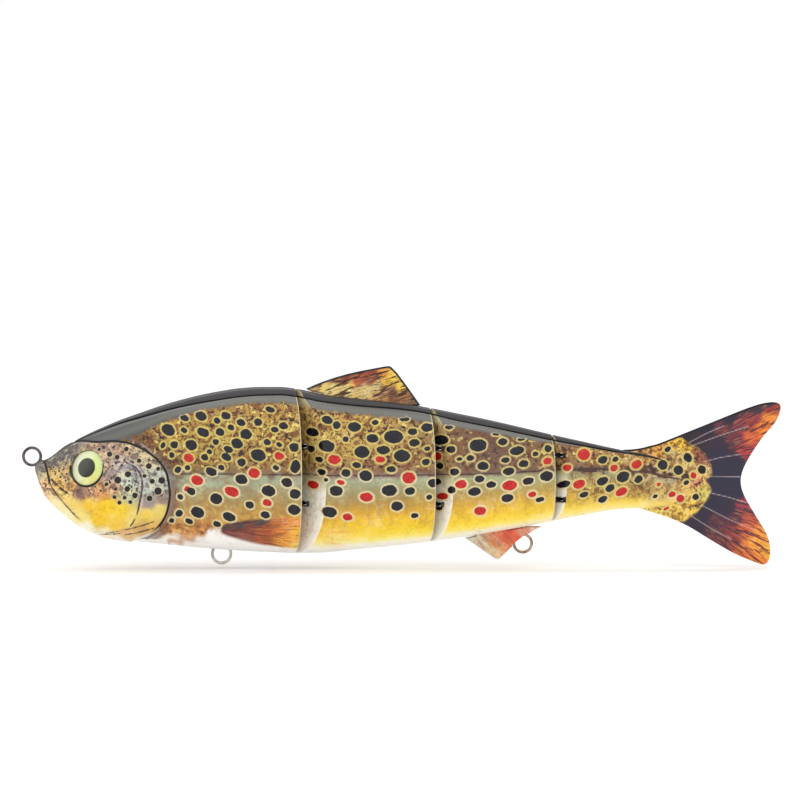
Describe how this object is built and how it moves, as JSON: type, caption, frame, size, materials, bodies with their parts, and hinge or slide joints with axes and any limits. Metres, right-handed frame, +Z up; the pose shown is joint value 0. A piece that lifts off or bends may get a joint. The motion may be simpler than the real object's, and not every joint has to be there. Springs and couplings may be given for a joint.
{
  "type": "swimbait",
  "caption": "Hard jointed swimbait shaped like a trout: hollow body sections in half shells on steel hinge pins, with fins, domed eyes, a line tie and hook hangers.",
  "frame": {"origin": "centre of the line tie's loop at the nose", "axes": "+X from the nose to the tail, +Z up towards the back, the middle plane of the fish at Y = 0, its left side at -Y"},
  "size_m": [0.3064, 0.034, 0.0802],
  "materials": {
    "printed_skin": "brown trout print under a gloss clear coat on ABS",
    "fin_skin": "orange and brown streaks under a gloss clear coat",
    "tail_skin": "dark red and yellow streaks under a gloss clear coat",
    "steel_wire": "bright stainless wire",
    "ballast_steel": "plain steel slug",
    "eye_print": "printed foil: pale yellow-green iris with a black pupil",
    "eye_clear": "clear domed resin"
  },
  "bodies": {
    "head_section": {"head_shell_left": "printed_skin", "head_shell_right": "printed_skin", "eye_iris_left": "eye_print", "eye_iris_right": "eye_print", "eye_lens_left": "eye_clear", "eye_lens_right": "eye_clear", "line_tie": "steel_wire", "front_hook_hanger": "steel_wire", "head_ballast_front": "ballast_steel", "head_ballast_rear": "ballast_steel", "front_hinge_eye_upper": "steel_wire", "front_hinge_eye_lower": "steel_wire"},
    "front_body_section": {"front_body_shell_left": "printed_skin", "front_body_shell_right": "printed_skin", "dorsal_fin": "fin_skin", "front_body_ballast": "ballast_steel", "front_hinge_pin": "steel_wire", "middle_hinge_eye_upper": "steel_wire", "middle_hinge_eye_lower": "steel_wire"},
    "rear_body_section": {"rear_body_shell_left": "printed_skin", "rear_body_shell_right": "printed_skin", "anal_fin": "fin_skin", "rear_hook_hanger": "steel_wire", "rear_body_ballast": "ballast_steel", "middle_hinge_pin": "steel_wire", "rear_hinge_eye_upper": "steel_wire", "rear_hinge_eye_lower": "steel_wire"},
    "tail_section": {"tail_shell_left": "printed_skin", "tail_shell_right": "printed_skin", "tail_fin": "tail_skin", "rear_hinge_pin": "steel_wire"}
  },
  "joints": [
    {"name": "front_joint", "type": "hinge", "parent": "head_section", "child": "front_body_section", "pos_m": [0.1089, 0, 0], "axis": [0, 0, 1], "range_deg": [-28, 28]},
    {"name": "middle_joint", "type": "hinge", "parent": "front_body_section", "child": "rear_body_section", "pos_m": [0.1633, 0, 0], "axis": [0, 0, 1], "range_deg": [-28, 28]},
    {"name": "rear_joint", "type": "hinge", "parent": "rear_body_section", "child": "tail_section", "pos_m": [0.2125, 0, 0], "axis": [0, 0, 1], "range_deg": [-28, 28]}
  ]
}
